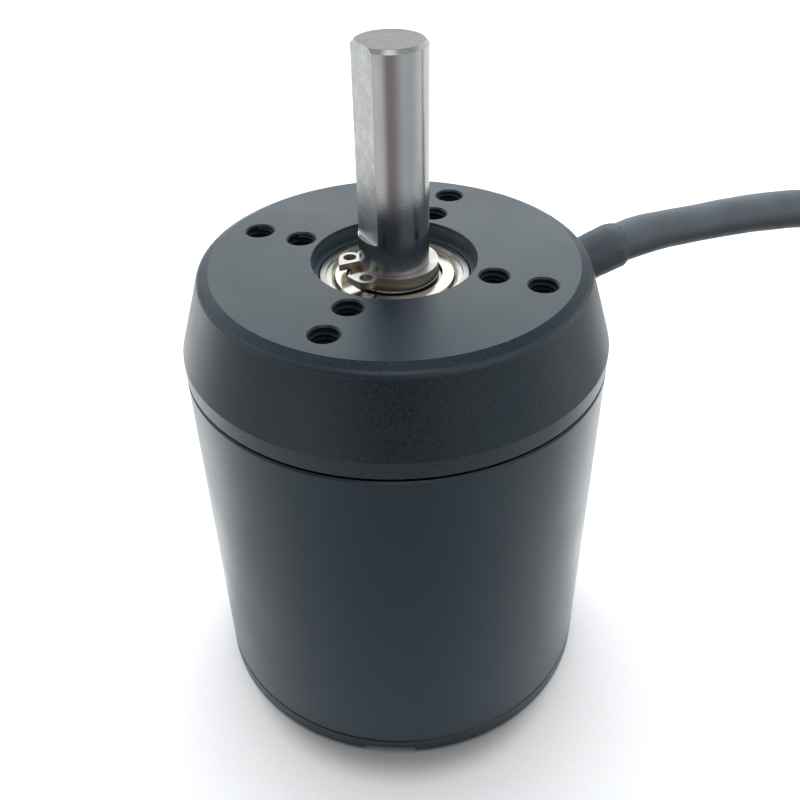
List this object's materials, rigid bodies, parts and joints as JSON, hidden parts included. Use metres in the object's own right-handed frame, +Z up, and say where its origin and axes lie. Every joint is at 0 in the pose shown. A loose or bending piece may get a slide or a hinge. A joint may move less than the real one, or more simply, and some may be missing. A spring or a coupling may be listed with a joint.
{
  "type": "brushless dc motor",
  "caption": "Sealed outrunner brushless motor with a coned front mount, a turning can, a flatted steel shaft in ball bearings, and a jacketed sensor and phase cable.",
  "frame": {"origin": "on the motor's axis, in the plane of the end bell's standing face", "axes": "+Z up along the shaft, out of the front face; +X to the right in the picture, on the cable's side; +Y away from the camera"},
  "size_m": [0.1977, 0.0881, 0.104],
  "materials": {
    "black_anodised": "satin black anodised, finely blasted",
    "black_can": "satin black",
    "electrical_steel": "stacked laminations",
    "insulator_plastic": "moulded",
    "copper_wire": "enamelled copper",
    "circuit_board": "solder mask",
    "black_plastic": "satin",
    "bright_steel": "polished",
    "bearing_steel": "ground",
    "shield_steel": "bright pressed steel",
    "pressed_brass": "pressed",
    "magnet_nickel": "nickel plated",
    "ground_steel": "ground, with fine scratches along the shaft",
    "spring_steel": "satin",
    "cable_jacket": "matte shrunk jacket",
    "yellow_insulation": "silicone",
    "green_insulation": "silicone",
    "blue_insulation": "silicone",
    "sensor_wires": "bundle of thin wires",
    "gold_contact": "gold plated",
    "white_plastic": "moulded"
  },
  "bodies": {
    "stator": {"front_mount": "black_anodised", "stator_core": "electrical_steel", "front_insulator": "insulator_plastic", "rear_insulator": "insulator_plastic", "phase_a_coils": "copper_wire", "phase_b_coils": "copper_wire", "phase_c_coils": "copper_wire", "sensor_board": "circuit_board", "hall_sensors": "black_plastic", "board_screws": "bright_steel", "inner_leads": "copper_wire", "front_bearing_outer_ring": "bearing_steel", "front_bearing_shields": "shield_steel", "front_snap_rings": "bright_steel", "rear_bearing_outer_ring": "bearing_steel", "rear_bearing_shields": "shield_steel", "rear_snap_rings": "bright_steel", "cable_sleeve": "cable_jacket", "motor_cable": "cable_jacket", "cable_coil": "cable_jacket", "cable_tail": "cable_jacket", "phase_lead_a": "yellow_insulation", "phase_lead_b": "green_insulation", "phase_lead_c": "blue_insulation", "sensor_lead": "sensor_wires", "bullet_sleeve_a": "black_plastic", "bullet_sleeve_b": "black_plastic", "bullet_sleeve_c": "black_plastic", "bullet_a": "gold_contact", "bullet_b": "gold_contact", "bullet_c": "gold_contact", "sensor_plug": "white_plastic"},
    "rotor": {"rotor_can": "black_can", "end_bell": "black_anodised", "magnets": "magnet_nickel", "shaft": "ground_steel", "retaining_ring": "spring_steel", "brass_shim": "pressed_brass", "steel_shim": "bearing_steel", "rear_spacer": "bearing_steel", "hub_screws": "spring_steel", "front_bearing_inner_ring": "bearing_steel", "rear_bearing_inner_ring": "bearing_steel"},
    "front_cage": {"front_bearing_balls": "bright_steel", "front_bearing_cage": "pressed_brass"},
    "rear_cage": {"rear_bearing_balls": "bright_steel", "rear_bearing_cage": "pressed_brass"}
  },
  "joints": [
    {"name": "rotor_spin", "type": "hinge", "parent": "stator", "child": "rotor", "pos_m": [0, 0, 0], "axis": [0, 0, 1], "continuous": true},
    {"name": "front_cage_spin", "type": "hinge", "parent": "stator", "child": "front_cage", "pos_m": [0, 0, 0], "axis": [0, 0, 1], "continuous": true},
    {"name": "rear_cage_spin", "type": "hinge", "parent": "stator", "child": "rear_cage", "pos_m": [0, 0, 0], "axis": [0, 0, 1], "continuous": true}
  ],
  "couplings": [
    {"joint": "front_cage_spin", "follows": "rotor_spin", "ratio": 0.4031},
    {"joint": "rear_cage_spin", "follows": "rotor_spin", "ratio": 0.4031}
  ]
}
